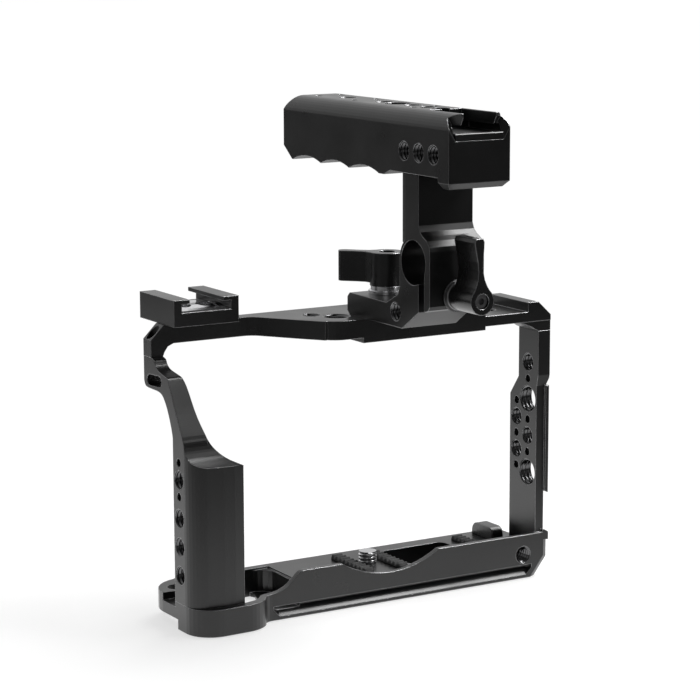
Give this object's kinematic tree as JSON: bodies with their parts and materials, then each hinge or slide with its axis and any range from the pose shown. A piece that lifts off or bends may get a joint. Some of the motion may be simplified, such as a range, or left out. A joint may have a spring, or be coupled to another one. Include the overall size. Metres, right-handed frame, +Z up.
{
  "type": "camera cage",
  "caption": "Camera cage with a lipped base, side grip, pierced upright, top plate with shoe, and a lever-clamped riser carrying a rod clamp and top handle.",
  "frame": {"origin": "middle of the width and depth of the whole part, on the surface it stands on; the lens-side face of the upright and top plate is at Y 0", "axes": "+X to the pierced upright across the camera, +Y from the lens side to the rear, +Z up"},
  "size_m": [0.1466, 0.109, 0.174],
  "materials": {
    "anodised": "satin black anodised, fine bead blasted",
    "rubber": "matt ribbed",
    "chrome": "polished",
    "steel": "fine turned",
    "dark_steel": "black oxide, fine"
  },
  "bodies": {
    "cage": {"base_frame": "anodised", "grip_upright": "anodised", "top_plate": "anodised", "cold_shoe": "anodised", "shoe_spring": "steel", "shoe_screw_front": "steel", "shoe_screw_rear": "steel", "seam_screw_left": "dark_steel", "seam_screw_right": "dark_steel", "grip_screw_front": "steel", "grip_screw_rear": "steel", "pad_left": "rubber", "pad_middle": "rubber", "pad_right": "rubber", "twist_block": "anodised", "twist_screw": "steel", "riser_clamp": "anodised", "pin_left": "steel", "pin_right": "steel", "handle_bar": "anodised", "handle_screw_front": "steel", "handle_screw_rear": "steel"},
    "camera_screw": {"camera_screw": "chrome"},
    "mount_stud": {"mount_stud": "steel", "mount_collar": "steel"},
    "mount_lever": {"mount_lever": "anodised", "mount_lever_screw": "dark_steel"},
    "rod_stud": {"rod_stud": "steel"},
    "rod_lever": {"rod_lever": "anodised", "rod_lever_screw": "dark_steel"}
  },
  "joints": [
    {"name": "camera_screw_turn", "type": "hinge", "parent": "cage", "child": "camera_screw", "pos_m": [0.0056, 0.015, 0.005], "axis": [0, 0, 1], "continuous": true},
    {"name": "mount_stud_turn", "type": "hinge", "parent": "cage", "child": "mount_stud", "pos_m": [0.00685, 0.004, 0.1086], "axis": [0, 0, 1], "continuous": true},
    {"name": "mount_lever_lift", "type": "slide", "parent": "mount_stud", "child": "mount_lever", "axis": [0, 0, 1], "range_m": [0, 0.0025], "stiffness_N_per_m": 200, "springref_m": -0.002},
    {"name": "rod_stud_turn", "type": "hinge", "parent": "cage", "child": "rod_stud", "pos_m": [0.00685, -0.0398, 0.1132], "axis": [0, 1, 0], "continuous": true},
    {"name": "rod_lever_lift", "type": "slide", "parent": "rod_stud", "child": "rod_lever", "axis": [0, -1, 0], "range_m": [0, 0.0025], "stiffness_N_per_m": 200, "springref_m": -0.002}
  ]
}
